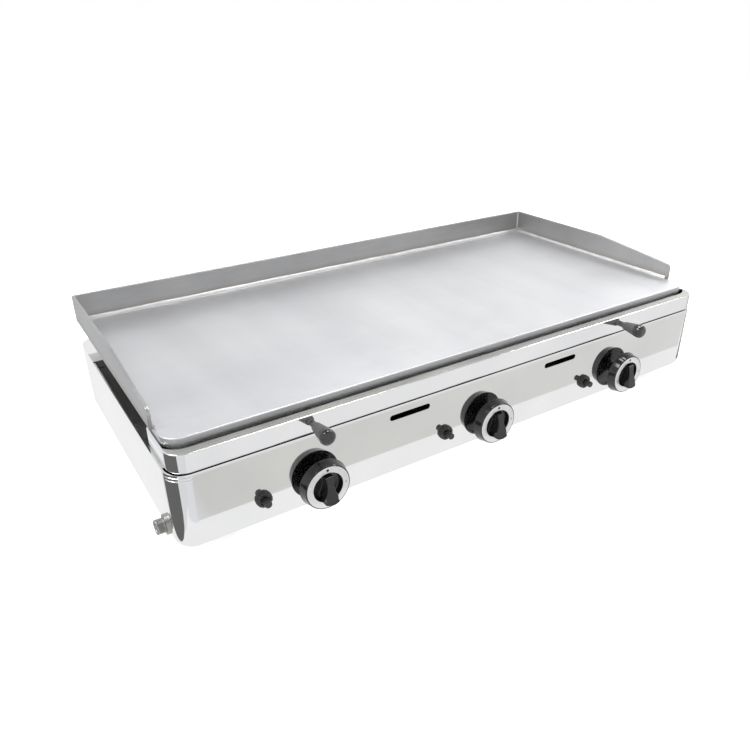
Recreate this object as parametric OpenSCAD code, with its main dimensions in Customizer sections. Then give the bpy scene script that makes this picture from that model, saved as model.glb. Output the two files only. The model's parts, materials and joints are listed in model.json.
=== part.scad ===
// Counter-top flat top gas griddle with three burners.
// +X runs to the right and +Y to the back, seen from the front; +Z is up and z = 0 is the worktop.
// Inside the modules x = 0 is the middle of the casing and y = 0 is its front face.

/* [Casing] */
// Width of the casing
body_w = 996; // [960:2:1040]
// Depth of the casing, front face to back face
body_d = 490; // [480:2:520]
// Height of the casing wall
body_h = 117; // [114:1:124]
// Plan radius of the upright corners
corner_r = 28; // [26:1:32]
// Radius of the rolled bottom edge
edge_r = 16; // [12:1:18]
// Thickness of the casing sheet
sheet = 1.2; // [1:0.1:1.4]
// Height of the casing above the worktop
foot_h = 22; // [20:1:28]

/* [Griddle plate] */
// Width of the cooking plate
plate_w = 982; // [960:2:982]
// Front edge of the plate, measured back from the casing front
plate_y = 21; // [18:1:26]
// Back edge of the plate, measured back from the casing front
plate_back = 476; // [470:1:476]
// Thickness of the plate
plate_t = 15; // [12:1:15]
// Gap between the casing top and the plate
plate_gap = 25; // [24:1:30]
// Radius of the front corners of the plate
plate_r = 26; // [16:1:30]
// Thickness of the splash guards
splash_t = 5; // [4:0.5:6]
// Height of the splash guards above the plate
splash_h = 44; // [40:1:60]
// Height of the side guards above the plate at their front end
splash_low = 27; // [22:1:32]
// Front end of the side guards
splash_y = 62; // [50:1:70]
// Where the side guards start to fall towards the front
splash_fall_y = 232; // [200:1:280]

/* [Grease tray] */
// Width of the tray
tray_w = 988; // [986:1:990]
// Depth of the tray
tray_d = 89; // [80:1:90]
// Height of the tray front
tray_h = 29; // [28:1:29]
// Height of the tray back wall
tray_back_h = 19; // [14:1:19]

/* [Controls] */
// Distance between neighbouring burners, knobs and igniters
pitch = 299; // [290:1:305]
// Height of the knob axis above the bottom of the casing
control_h = 44; // [42:1:46]
// Distance of an igniter to the left of its knob
igniter_dx = 83; // [76:1:90]
// Radius of the knob skirt at the back
knob_r = 36.5; // [34:0.5:38]
// Radius of the knob at its dial
dial_r = 33.5; // [31:0.5:34]
// Push-in travel of a knob
knob_travel = 3.5; // [2:0.5:4]
// Push-in travel of an igniter button
button_travel = 7; // [4:1:8]

/* [Gas parts] */
// Outer radius of the manifold pipe
manifold_r = 10.65; // [10:0.05:11]
// Radius of the threaded inlet spigot
inlet_r = 10.48; // [9:0.02:10.48]
// How far the inlet spigot stands out of the casing side
inlet_reach = 16; // [14:1:30]
// Radius of a burner bar
burner_r = 15; // [13:0.5:17]
// Length of a burner bar
burner_len = 210; // [180:5:215]

/* [Hidden] */
$fn = 64;
half_w = body_w / 2;
floor_z = foot_h;
top_z = floor_z + body_h;
plate_z = top_z + plate_gap;
plate_top = plate_z + plate_t;
control_z = floor_z + control_h;
burner_z = control_z + 14;
knob_xs = [-pitch, 0, pitch];

// casing sheet work
hem = 8;
flange = 26;
lap = 20;
screw_r = 2;
screw_head = 2.6;
screw_head_r = 3.8;
screw_shank = 6;
screw_zs = [30, 60, 95];
cover_screw_xs = [-450, -160, 160, 450];
vent_l = 34;
vent_w = 7;
vent_pitch = 40;
vent_zs = [36, 82];
eps = 0.02;

tray_r = 26;
tray_edge_r = 3;
tray_hem = 3;
tray_flange = tray_edge_r + 3;
tray_half = tray_w / 2;
apron_y = 15;
grip_xs = [-304, 292];
grip_z = top_z + 15.5;
grip_len = 38.5;
grip_gap = 8;
grip_r = 11.2;
stud_r = 3;

// sight slots in the front
slot_xs = [-148, 152];
slot_z = floor_z + 99.5;
slot_l = 70;
slot_w = 9;

// walls inside that carry the plate
bulk_t = 1.5;
front_bulk_y = 96;
rear_bulk_y = 383;
bulk_half = half_w - sheet - 0.4;
bulk_low_half = half_w - edge_r - 1;
shoulder_z = top_z - 12;
rail_half = 470;
rail_d = 26;
pin_x = 440;
pin_r = 5;
pin_ys = [front_bulk_y + 14, rear_bulk_y - 12];

foot_x = 430;
foot_ys = [60, 430];
foot_screw_r = 2.5;
foot_recess = 12;

// gas train, front to back
manifold_y = 48;
manifold_z = floor_z + 22;
pipe_bore = 8;
collar_w = 4;
valve_r = 11;
valve_front = 8;
valve_cap = 12;
valve_room = 34;
valve_back = 50;
spindle_r = 4;
injector_y = 72;
bell_y = 80;
throat_y = 92;
throat_r = 12;
cross_y = 150;
bar_dx = 50;
burner_wall = 1.5;
electrode_dx = -34;
probe_dx = 34;
flame_z = burner_z + 25;

// knobs and igniters, measured out from the front face
knob_back = 11.5;
knob_front = 25.5;
knob_wall = 4;
boss_r = 9;
dish_r = 22;
dish_d = 8;
igniter_r = 7;
igniter_nut_r = 11.6;
igniter_depth = 62;
button_r = 5;
button_out = 17;
terminal_r = 2.5;
terminal_l = 8;
lead_r = 1.6;
tube_r = 1.5;

origin_x = inlet_reach / 2;
origin_y = -(body_d + screw_head - grip_gap - grip_len) / 2;

function numbered(name) = [for (i = [1:3]) str(name, "_", i)];

// ---------- helpers ----------
module placed() { translate([origin_x, origin_y, 0]) children(); }

// local +Z points out of the front face and local +Y points up
module on_front(x, z) { translate([x, 0, z]) rotate([90, 0, 0]) children(); }

module mirror_pair() {
    children();
    mirror([1, 0, 0]) children();
}

module tube_2d(outer, inner) {
    difference() {
        circle(r = outer);
        circle(r = inner);
    }
}

module slot_2d(length, width) {
    square([length - width, width], center = true);
    for (s = [-1, 1]) translate([s * (length - width) / 2, 0]) circle(d = width);
}

module rounded_2d(w, d, r) {
    translate([-w / 2 + r, 0]) square([w - 2 * r, d]);
    translate([-w / 2, r]) square([w, d - 2 * r]);
    for (x = [-w / 2 + r, w / 2 - r], y = [r, d - r]) translate([x, y]) circle(r = r);
}

// Sheet section: x is measured from the corner axis outwards, the outer face is at x = cr
module wall_2d(cr, er, h, hem_h, fl) {
    translate([cr - sheet, er]) square([sheet, h - er]);
    translate([cr - 2 * sheet, h - hem_h]) square([2 * sheet, hem_h]);
    translate([cr - fl, 0]) square([fl - er, sheet]);
    translate([cr - er, er]) intersection() {
        tube_2d(er, er - sheet);
        translate([0, -er]) square([er, er]);
    }
}

// Straight front wall between the corners
module wall_front(half, cr, er, h, hem_h, fl) {
    run = half - cr;
    translate([-run, cr, 0]) rotate([90, 0, 90])
        linear_extrude(2 * run) mirror([1, 0]) wall_2d(cr, er, h, hem_h, fl);
}

// Right front corner and right side wall back to y_end
module wall_end(half, cr, er, h, hem_h, fl, y_end) {
    run = half - cr;
    translate([run, cr, 0]) rotate([0, 0, -90]) rotate_extrude(angle = 90) wall_2d(cr, er, h, hem_h, fl);
    translate([run, y_end, 0]) rotate([90, 0, 0]) linear_extrude(y_end - cr) wall_2d(cr, er, h, hem_h, fl);
}

module wall_u(half, cr, er, h, hem_h, fl, y_end) {
    wall_front(half, cr, er, h, hem_h, fl);
    mirror_pair() wall_end(half, cr, er, h, hem_h, fl, y_end);
}

function unit(v) = v / norm(v);
function blend(p, i, t) =
    let (a = p[max(i - 1, 0)], b = p[i], c = p[i + 1], d = p[min(i + 2, len(p) - 1)])
    0.5 * (2 * b + (c - a) * t + (2 * a - 5 * b + 4 * c - d) * t * t + (3 * b - a - 3 * c + d) * t * t * t);
function smooth_path(p, steps) =
    concat([for (i = [0:len(p) - 2], s = [0:steps - 1]) blend(p, i, s / steps)], [p[len(p) - 1]]);

// Round wire along a path; ref is never parallel to the path
module wire(path, r, sides, ref) {
    n = len(path);
    rings = [for (i = [0:n - 1])
        let (t = unit(path[min(i + 1, n - 1)] - path[max(i - 1, 0)]))
        let (u = unit(cross(t, ref)), v = cross(t, u))
        for (k = [0:sides - 1]) path[i] + r * (cos(360 * k / sides) * u + sin(360 * k / sides) * v)];
    sides_f = [for (i = [0:n - 2], k = [0:sides - 1])
        [i * sides + k, (i + 1) * sides + k, (i + 1) * sides + (k + 1) % sides, i * sides + (k + 1) % sides]];
    caps = [[for (k = [0:sides - 1]) k], [for (k = [sides - 1:-1:0]) (n - 1) * sides + k]];
    polyhedron(points = rings, faces = concat(sides_f, caps));
}

module pan_screw() {
    cylinder(h = screw_head - 1, r = screw_head_r);
    translate([0, 0, screw_head - 1]) cylinder(h = 1, r1 = screw_head_r, r2 = 2.2);
    translate([0, 0, -screw_shank]) cylinder(h = screw_shank + 0.5, r = screw_r);
}
module pan_screw_hole() {
    translate([0, 0, -2 * screw_shank]) cylinder(h = 3 * screw_shank, r = screw_r + 0.1);
}

// Screw places on the back face and on the top cover, heads outwards
module at_rear_screws() {
    for (x = [-half_w + corner_r + lap / 2, half_w - corner_r - lap / 2], z = screw_zs)
        translate([x, body_d, floor_z + z]) rotate([-90, 0, 0]) children();
}
module at_cover_screws() {
    for (x = cover_screw_xs) translate([x, rear_bulk_y + 60, top_z + sheet]) children();
}

// ---------- casing ----------
module body_shell() placed() color([0.86, 0.87, 0.88]) difference() {
    union() {
        translate([0, 0, floor_z]) wall_u(half_w, corner_r, edge_r, body_h, hem, flange, body_d / 2);
        translate([0, body_d, floor_z]) mirror([0, 1, 0]) difference() {
            wall_u(half_w, corner_r, edge_r, body_h, hem, flange, body_d / 2);
            translate([-half_w + corner_r + lap, -1, -1])
                cube([body_w - 2 * corner_r - 2 * lap, flange + 2, body_h + 2]);
        }
    }
    for (x = knob_xs) {
        on_front(x, control_z) translate([0, 0, -5]) cylinder(h = 10, r = boss_r);
        on_front(x - igniter_dx, control_z) translate([0, 0, -5]) cylinder(h = 10, r = igniter_r + 0.3);
    }
    for (x = slot_xs) on_front(x, slot_z) translate([0, 0, -5])
        linear_extrude(10) slot_2d(slot_l, slot_w);
    translate([-half_w - 5, manifold_y, manifold_z]) rotate([0, 90, 0])
        cylinder(h = 30, r = manifold_r + 1.5);
    at_rear_screws() pan_screw_hole();
}

module rear_panel() placed() color([0.8, 0.81, 0.82]) {
    w = body_w - 2 * corner_r - 2;
    skirt = w - 2 * lap;
    low = edge_r + 2;
    y = body_d - 2 * sheet;
    difference() {
        union() {
            translate([-w / 2, y, floor_z + low]) cube([w, sheet, body_h - low - hem]);
            translate([-w / 2, y - 12, floor_z + body_h - hem - sheet]) cube([w, 12 + eps, sheet]);
            translate([-skirt / 2, y, floor_z]) cube([skirt, sheet, low + eps]);
            translate([-skirt / 2, y - 18, floor_z]) cube([skirt, 18 + eps, sheet]);
        }
        for (x = [-9 * vent_pitch:vent_pitch:9 * vent_pitch], z = vent_zs)
            translate([x, body_d, floor_z + z]) rotate([90, 90, 0])
                linear_extrude(20, center = true) slot_2d(vent_l, vent_w);
        at_rear_screws() pan_screw_hole();
    }
}

module rear_top_cover() placed() color([0.84, 0.85, 0.86]) {
    y0 = rear_bulk_y + bulk_t + 0.5;
    difference() {
        union() {
            translate([0, 0, top_z]) linear_extrude(sheet) intersection() {
                rounded_2d(body_w, body_d, corner_r);
                translate([-half_w, y0]) square([body_w, body_d - y0]);
            }
            translate([-half_w + 6, y0, top_z - 10]) cube([body_w - 12, sheet, 10 + eps]);
        }
        at_cover_screws() pan_screw_hole();
    }
    // inner stiffener that the cover screws bite into
    difference() {
        translate([-half_w + 12, rear_bulk_y + 50, top_z - 2]) cube([body_w - 24, 20, 2 + eps]);
        at_cover_screws() pan_screw_hole();
    }
}

module base_pan() placed() color([0.7, 0.71, 0.72]) {
    inset = edge_r + 1;
    difference() {
        translate([0, inset, floor_z + sheet])
            linear_extrude(sheet) rounded_2d(body_w - 2 * inset, body_d - 2 * inset, corner_r - inset);
        for (k = knob_xs, dx = [-80:32:80], y = [170, 300])
            translate([k + dx, y, 0]) linear_extrude(3 * floor_z) rotate(90) slot_2d(90, 8);
        for (s = [-1, 1], y = foot_ys) translate([s * foot_x, y, 0]) cylinder(h = 3 * floor_z, r = 2.7);
    }
    // upright tabs that carry the manifold pipe
    for (x = [-150, 150]) difference() {
        translate([x - 1, manifold_y - 16, floor_z + 2 * sheet - eps]) cube([2, 32, 36]);
        translate([x - 5, manifold_y, manifold_z]) rotate([0, 90, 0]) cylinder(h = 10, r = manifold_r + 0.15);
    }
}

// Sheet wall across the casing whose top flange carries the plate; dir points the flange
module bulkhead(y, dir) {
    low_z = floor_z + 2 * sheet;
    wide_z = floor_z + edge_r;
    flange_y = dir > 0 ? y : y - rail_d + bulk_t;
    translate([-bulk_low_half, y, low_z]) cube([2 * bulk_low_half, bulk_t, wide_z - low_z + eps]);
    translate([-bulk_half, y, wide_z]) cube([2 * bulk_half, bulk_t, shoulder_z - wide_z]);
    translate([-rail_half, y, shoulder_z - eps]) cube([2 * rail_half, bulk_t, plate_z - shoulder_z + eps]);
    for (z = [low_z, plate_z - bulk_t])
        translate([-rail_half, flange_y, z]) cube([2 * rail_half, rail_d, bulk_t]);
    mirror_pair() translate([bulk_half - bulk_t, flange_y, wide_z + 2])
        cube([bulk_t, rail_d, shoulder_z - wide_z - 14]);
}

module front_bulkhead() placed() color([0.62, 0.63, 0.64]) difference() {
    bulkhead(front_bulk_y, 1);
    for (s = [-1, 1]) translate([s * pin_x, pin_ys[0], plate_z - 10]) cylinder(h = 20, r = pin_r + 1);
    for (x = knob_xs) {
        translate([x, 0, burner_z]) rotate([-90, 0, 0]) cylinder(h = 120, r = 13);
        translate([x + electrode_dx, 0, flame_z]) rotate([-90, 0, 0]) cylinder(h = 120, r = 4);
        translate([x + probe_dx, 0, flame_z]) rotate([-90, 0, 0]) cylinder(h = 120, r = 3.5);
    }
}

module rear_bulkhead() placed() color([0.62, 0.63, 0.64]) difference() {
    bulkhead(rear_bulk_y, -1);
    for (s = [-1, 1]) translate([s * pin_x, pin_ys[1], plate_z - 10]) cylinder(h = 20, r = pin_r + 1);
    for (x = knob_xs, dx = [-bar_dx, bar_dx])
        translate([x + dx, rear_bulk_y - 20, burner_z]) rotate([-90, 0, 0]) cylinder(h = 40, r = 4.6);
    for (x = [-405:90:405]) translate([x, rear_bulk_y, top_z - 20]) rotate([90, 0, 0])
        linear_extrude(20, center = true) slot_2d(70, 14);
}

// Angle under one end of the tray
module tray_runner() {
    inner = half_w - 2 * sheet - 0.2;
    width = 22;
    length = 60;
    drop = 30;
    translate([inner - width, corner_r + 4, top_z - bulk_t]) cube([width, length, bulk_t]);
    translate([inner - bulk_t, corner_r + 4, top_z - drop]) cube([bulk_t, length, drop]);
}
module tray_runners() placed() color([0.62, 0.63, 0.64]) mirror_pair() tray_runner();

module casing_screws() placed() color([0.75, 0.75, 0.76]) {
    at_rear_screws() pan_screw();
    at_cover_screws() pan_screw();
}

module foot(x, y) placed() color([0.12, 0.12, 0.13]) translate([x, y, 0]) difference() {
    cylinder(h = floor_z + sheet, r1 = 16, r2 = 19);
    translate([0, 0, -1]) cylinder(h = foot_recess + 1, r = 6);
    cylinder(h = 60, r = foot_screw_r + 0.2);
}

module foot_screws() placed() color([0.75, 0.75, 0.76])
for (s = [-1, 1], y = foot_ys) translate([s * foot_x, y, 0]) {
    head = 3;
    nut = 4;
    nut_z = floor_z + 2 * sheet;
    translate([0, 0, foot_recess - head]) cylinder(h = head, r = 4.8);
    translate([0, 0, foot_recess - 1]) cylinder(h = nut_z + nut + 3 - foot_recess, r = foot_screw_r);
    translate([0, 0, nut_z]) cylinder(h = nut, r = 4.6, $fn = 6);
}

// ---------- griddle plate ----------
module griddle_plate() placed() color([0.78, 0.79, 0.8])
translate([0, plate_y, plate_z]) linear_extrude(plate_t) {
    d = plate_back - plate_y;
    translate([-plate_w / 2, plate_r]) square([plate_w, d - plate_r]);
    translate([-plate_w / 2 + plate_r, 0]) square([plate_w - 2 * plate_r, d]);
    for (s = [-1, 1]) translate([s * (plate_w / 2 - plate_r), plate_r]) circle(r = plate_r);
}

module plate_pins() placed() color([0.6, 0.6, 0.6]) for (s = [-1, 1], y = pin_ys)
    translate([s * pin_x, y, plate_z - 14]) {
        cylinder(h = 2, r1 = pin_r - 1.5, r2 = pin_r);
        translate([0, 0, 2]) cylinder(h = 12, r = pin_r);
    }

module back_splash() placed() color([0.72, 0.72, 0.72])
    translate([-plate_w / 2 - splash_t, plate_back, plate_top - 1])
        cube([plate_w + 2 * splash_t, splash_t, splash_h + 1]);

// Side guard seen from the side: level at the back, falling to a rounded nose at the front
module side_splash() {
    r = 10;
    slope = atan2(splash_h - splash_low, splash_fall_y - splash_y);
    nose_z = splash_low - r / cos(slope) + r * tan(slope);
    nose = [for (a = [180:-7.5:90 + slope]) [splash_y + r + r * cos(a), nose_z + r * sin(a)]];
    back = [[splash_fall_y, splash_h], [plate_back, splash_h]];
    outline = concat([[plate_back, -1], [splash_y, -1]], nose, back);
    translate([plate_w / 2, 0, plate_top]) rotate([90, 0, 90])
        linear_extrude(splash_t) polygon(outline);
}
module right_splash() placed() color([0.72, 0.72, 0.72]) side_splash();
module left_splash() placed() color([0.72, 0.72, 0.72]) mirror([1, 0, 0]) side_splash();

// ---------- grease tray ----------
// Polished front of the tray, with a narrow flange below that the pan is welded to
module tray_front() placed() color([0.84, 0.85, 0.86]) difference() {
    translate([0, 0, top_z])
        wall_front(tray_half, tray_r, tray_edge_r, tray_h, tray_hem, tray_flange);
    for (x = grip_xs) on_front(x, grip_z) translate([0, 0, -5]) cylinder(h = 10, r = stud_r + 0.1);
}

// Polished end of the tray: the rounded corner and the side
module tray_end() translate([0, 0, top_z])
    wall_end(tray_half, tray_r, tray_edge_r, tray_h, tray_hem, tray_flange, tray_d);
module tray_end_right() placed() color([0.84, 0.85, 0.86]) tray_end();
module tray_end_left() placed() color([0.84, 0.85, 0.86]) mirror([1, 0, 0]) tray_end();

// Level strip behind the hem of the tray front, in front of the plate
module tray_apron() placed() color([0.8, 0.81, 0.82]) {
    run = tray_half - tray_r;
    translate([-run, 2 * sheet, top_z + tray_h - sheet])
        cube([2 * run, apron_y - 2 * sheet, sheet]);
}

// Floor and back wall of the tray
module tray_pan() placed() color([0.72, 0.73, 0.74]) translate([0, 0, top_z + sheet]) {
    inset = tray_edge_r + 1;
    pan_w = tray_w - 2 * inset;
    linear_extrude(sheet) intersection() {
        translate([0, inset]) rounded_2d(pan_w, tray_d, tray_r - inset);
        translate([-pan_w, 0]) square([2 * pan_w, tray_d]);
    }
    translate([-pan_w / 2, tray_d - sheet, 0]) cube([pan_w, sheet, tray_back_h - sheet]);
}

// Neck, cone and domed end
module tray_grip(x) placed() color([0.1, 0.1, 0.1]) on_front(x, grip_z) difference() {
    dome = 10;
    union() {
        cylinder(h = grip_gap, r = 4.6);
        translate([0, 0, grip_gap]) cylinder(h = grip_len - dome, r1 = 5.8, r2 = grip_r);
        translate([0, 0, grip_gap + grip_len - dome]) rotate_extrude() intersection() {
            translate([0, dome - grip_r]) circle(r = grip_r);
            square([2 * grip_r, 2 * grip_r]);
        }
    }
    translate([0, 0, -1]) cylinder(h = 20, r = stud_r + 0.05);
}

module grip_studs() placed() color([0.7, 0.7, 0.7]) for (x = grip_xs) on_front(x, grip_z) {
    nut = 5;
    translate([0, 0, -8]) cylinder(h = 26, r = stud_r);
    translate([0, 0, -sheet - nut]) cylinder(h = nut, r = 5.5, $fn = 6);
}

// ---------- gas parts ----------
module gas_manifold() placed() color([0.66, 0.67, 0.68]) difference() {
    past_last = 60;
    end_wall = 10;
    translate([0, manifold_y, manifold_z]) rotate([0, 90, 0]) {
        translate([0, 0, -half_w - collar_w])
            cylinder(h = half_w + collar_w + pitch + past_last, r = manifold_r);
        translate([0, 0, -half_w - inlet_reach]) cylinder(h = inlet_reach, r = inlet_r);
    }
    translate([-half_w - inlet_reach - 1, manifold_y, manifold_z]) rotate([0, 90, 0])
        cylinder(h = half_w + inlet_reach + pitch + past_last - end_wall, r = pipe_bore);
    for (x = knob_xs) translate([x, manifold_y, manifold_z]) cylinder(h = 30, r = 6);
}

module inlet_collar() placed() color([0.35, 0.35, 0.36])
    translate([-half_w - collar_w, manifold_y, manifold_z]) rotate([0, 90, 0])
        linear_extrude(collar_w) tube_2d(14, manifold_r + 0.1);

// Round body with a square block behind it, a stub down into the pipe and an outlet to the injector
module gas_valve(x) placed() color([0.75, 0.6, 0.3]) difference() {
    block_z = manifold_z + manifold_r + 0.6;
    outlet_y = 60;
    union() {
        on_front(x, control_z) translate([0, 0, -valve_back])
            cylinder(h = valve_back - valve_front, r = valve_r);
        translate([x - 13, valve_room, block_z]) cube([26, 30, burner_z + 8.6 - block_z]);
        translate([x, manifold_y, manifold_z + 5]) cylinder(h = 10, r = 5.9);
        translate([x, outlet_y, burner_z]) rotate([-90, 0, 0]) cylinder(h = injector_y - outlet_y, r = 8);
    }
    on_front(x, control_z) translate([0, 0, -valve_room]) cylinder(h = valve_room - valve_cap, r = 9);
    on_front(x, control_z) translate([0, 0, -valve_back]) cylinder(h = 60, r = spindle_r + 0.3);
}

module valve_spindle(x) placed() color([0.8, 0.8, 0.78]) on_front(x, control_z) {
    translate([0, 0, 6 - valve_back]) cylinder(h = valve_back + 11, r = spindle_r);
    translate([0, 0, -valve_cap - 2]) cylinder(h = 1.7, r = 6.5);
}

module spring_seat(x) placed() color([0.9, 0.9, 0.88]) on_front(x, control_z)
    translate([0, 0, -valve_cap - 4.1]) linear_extrude(1.8) tube_2d(8.5, spindle_r + 0.3);

module valve_spring(x) placed() color([0.5, 0.5, 0.52]) on_front(x, control_z) {
    turns = 5;
    steps = 16;
    coil_r = 6.6;
    z0 = -valve_room + 0.7;
    z1 = -valve_cap - 4.8;
    wire([for (i = [0:turns * steps]) let (a = 360 * i / steps)
        [coil_r * cos(a), coil_r * sin(a), z0 + (z1 - z0) * i / (turns * steps)]], 0.6, 6, [0, 0, 1]);
}

module injectors() placed() color([0.8, 0.65, 0.3])
for (x = knob_xs) translate([x, injector_y, burner_z]) rotate([-90, 0, 0]) {
    hex = 7;
    cylinder(h = hex, r = 6, $fn = 6);
    translate([0, 0, hex]) cylinder(h = bell_y - injector_y, r1 = 4, r2 = 2.5);
}

// Two bars joined by a cross tube
module burner_bars(r, grow) {
    for (s = [-1, 1]) {
        translate([s * bar_dx, cross_y, 0]) rotate([-90, 0, 0]) cylinder(h = burner_len + grow, r = r);
        translate([s * bar_dx, cross_y, 0]) sphere(r = r);
    }
    translate([-bar_dx, cross_y, 0]) rotate([0, 90, 0]) cylinder(h = 2 * bar_dx, r = r);
}

// Air bell and throat that feed the cross tube
module burner_throat(shrink) {
    bell_r = 17;
    bell_l = throat_y - bell_y;
    translate([0, throat_y - eps, 0]) rotate([-90, 0, 0])
        cylinder(h = cross_y - throat_y + eps, r = throat_r - shrink);
    translate([0, bell_y - shrink / 50, 0]) rotate([-90, 0, 0])
        cylinder(h = bell_l + shrink / 50, r1 = bell_r - shrink, r2 = throat_r - shrink);
}

module burner(x) placed() color([0.55, 0.56, 0.58]) translate([x, 0, burner_z]) {
    tail_r = 4;
    difference() {
        union() {
            burner_bars(burner_r, 0);
            burner_throat(0);
        }
        burner_bars(burner_r - burner_wall, -burner_wall);
        burner_throat(burner_wall);
        for (s = [-1, 1], y = [cross_y + 20:14:cross_y + burner_len - 12])
            translate([s * bar_dx, y, burner_r]) cube([18, 2, 14], center = true);
    }
    for (s = [-1, 1]) translate([s * bar_dx, cross_y + burner_len - eps, 0]) rotate([-90, 0, 0])
        cylinder(h = rear_bulk_y + 6 - cross_y - burner_len, r = tail_r);
}

module thermocouples() placed() color([0.72, 0.45, 0.3]) for (x = knob_xs) {
    route = [[x + 13.5, 57, control_z + 4], [x + 19, 57, control_z + 4], [x + 25, 60, control_z + 8],
             [x + probe_dx, 72, control_z + 22], [x + probe_dx, 84, flame_z - 2], [x + probe_dx, 96, flame_z],
             [x + probe_dx, 142, flame_z]];
    wire(smooth_path(route, 4), tube_r, 8, [0, -1, 1]);
}

// ---------- ignition ----------
module igniter_body(x) placed() color([0.1, 0.1, 0.1]) on_front(x - igniter_dx, control_z) difference() {
    shoulder = 2.5;
    union() {
        translate([0, 0, -igniter_depth]) cylinder(h = igniter_depth + 4, r = igniter_r);
        translate([0, 0, -sheet - 0.1 - shoulder]) cylinder(h = shoulder, r = 9.6);
        translate([0, 0, -igniter_depth - terminal_l]) cylinder(h = terminal_l + 2, r = terminal_r);
    }
    translate([0, 0, -24]) cylinder(h = 40, r = button_r + 0.4);
}

module igniter_nuts() placed() color([0.1, 0.1, 0.1]) for (x = knob_xs)
    on_front(x - igniter_dx, control_z) translate([0, 0, 0.1])
        linear_extrude(5.4) tube_2d(igniter_nut_r, igniter_r + 0.1);

module igniter_button(x) placed() color([0.08, 0.08, 0.08]) on_front(x - igniter_dx, control_z) {
    chamfer = 1;
    translate([0, 0, -14]) cylinder(h = 14 + button_out - chamfer, r = button_r);
    translate([0, 0, button_out - chamfer]) cylinder(h = chamfer, r1 = button_r, r2 = button_r - chamfer);
}

// Porcelain tubes through the front bulkhead, each with a pin above its burner
module spark_electrodes() placed()
for (x = knob_xs) translate([x + electrode_dx, 0, flame_z]) rotate([-90, 0, 0]) {
    start = 90;
    tube_l = 38;
    pin_l = 24;
    color([0.92, 0.9, 0.85]) translate([0, 0, start]) cylinder(h = tube_l, r = 3.5);
    color([0.5, 0.5, 0.5]) translate([0, 0, start + tube_l - 1]) cylinder(h = pin_l, r = 1);
}

module ignition_leads() placed() color([0.75, 0.2, 0.15]) for (x = knob_xs) {
    start_x = x - igniter_dx;
    start_y = igniter_depth + terminal_l + 0.4;
    end_x = x + electrode_dx;
    route = [[start_x, start_y, control_z], [start_x, start_y + 5, control_z],
             [start_x + 2, start_y + 10, control_z + 4], [start_x + 8, 84, control_z + 15],
             [start_x + 25, 82, flame_z - 12], [end_x - 10, 79, flame_z - 2],
             [end_x - 1, 84, flame_z], [end_x, 89.4, flame_z]];
    wire(smooth_path(route, 4), lead_r, 8, [0, -1, 1]);
}

// ---------- knobs ----------
module knob(x) placed() color([0.09, 0.09, 0.09]) on_front(x, control_z) {
    boss_z = 5;
    seat_d = 1;
    rim = 0.6;
    difference() {
        union() {
            translate([0, 0, knob_back]) cylinder(h = knob_front - knob_back, r1 = knob_r, r2 = dial_r);
            translate([0, 0, boss_z]) cylinder(h = knob_back - boss_z + knob_wall, r = boss_r);
        }
        translate([0, 0, knob_back - 1]) linear_extrude(knob_wall) tube_2d(knob_r - knob_wall, 12);
        translate([0, 0, knob_front - dish_d]) cylinder(h = 10, r = dish_r);
        translate([0, 0, knob_front - seat_d]) linear_extrude(2) tube_2d(dial_r - rim, dish_r + rim);
        translate([0, 0, boss_z - 1]) cylinder(h = 13, r = spindle_r + 0.02);
    }
    knob_bar();
}

// Waisted finger bar; its front slopes down towards the top
module knob_bar() {
    half_bar = 9.5;
    bar_top = 19;
    waist_r = 32;
    waist_x = 37;
    slope = 12;
    difference() {
        translate([0, 0, knob_front - dish_d - eps]) linear_extrude(22) difference() {
            intersection() {
                circle(r = dish_r);
                translate([-half_bar, -dish_r]) square([2 * half_bar, dish_r + bar_top]);
            }
            for (s = [-1, 1]) translate([s * waist_x, 8]) circle(r = waist_r);
        }
        translate([0, bar_top, knob_front + 5]) rotate([-slope, 0, 0])
            translate([-30, -60, 0]) cube([60, 90, 40]);
    }
}

module dial_ring(x) placed() color([0.82, 0.82, 0.84]) on_front(x, control_z)
    translate([0, 0, knob_front - 1]) linear_extrude(1.2) tube_2d(dial_r - 0.7, dish_r + 0.7);

body_shell();
rear_panel();
rear_top_cover();
base_pan();
front_bulkhead();
rear_bulkhead();
tray_runners();
casing_screws();
foot_screws();
foot(-foot_x, foot_ys[0]);  // foot_front_left
foot(foot_x, foot_ys[0]);  // foot_front_right
foot(-foot_x, foot_ys[1]);  // foot_back_left
foot(foot_x, foot_ys[1]);  // foot_back_right
gas_manifold();
inlet_collar();
injectors();
thermocouples();
ignition_leads();
igniter_nuts();
griddle_plate();
plate_pins();
back_splash();
left_splash();
right_splash();
tray_front();
tray_apron();
tray_end_left();
tray_end_right();
tray_pan();
tray_grip(grip_xs[0]);  // tray_grip_left
tray_grip(grip_xs[1]);  // tray_grip_right
grip_studs();
spark_electrodes();
for (i = [1:3]) {
    x = knob_xs[i - 1];
    gas_valve(x);
    valve_spindle(x);
    spring_seat(x);
    valve_spring(x);
    knob(x);
    dial_ring(x);
    burner(x);
    igniter_body(x);
    igniter_button(x);
}
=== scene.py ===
"""Studio scene of the flat top griddle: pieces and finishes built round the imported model, in metres."""

import json
import math

import bmesh
import bpy
from mathutils import Matrix, Vector


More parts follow.
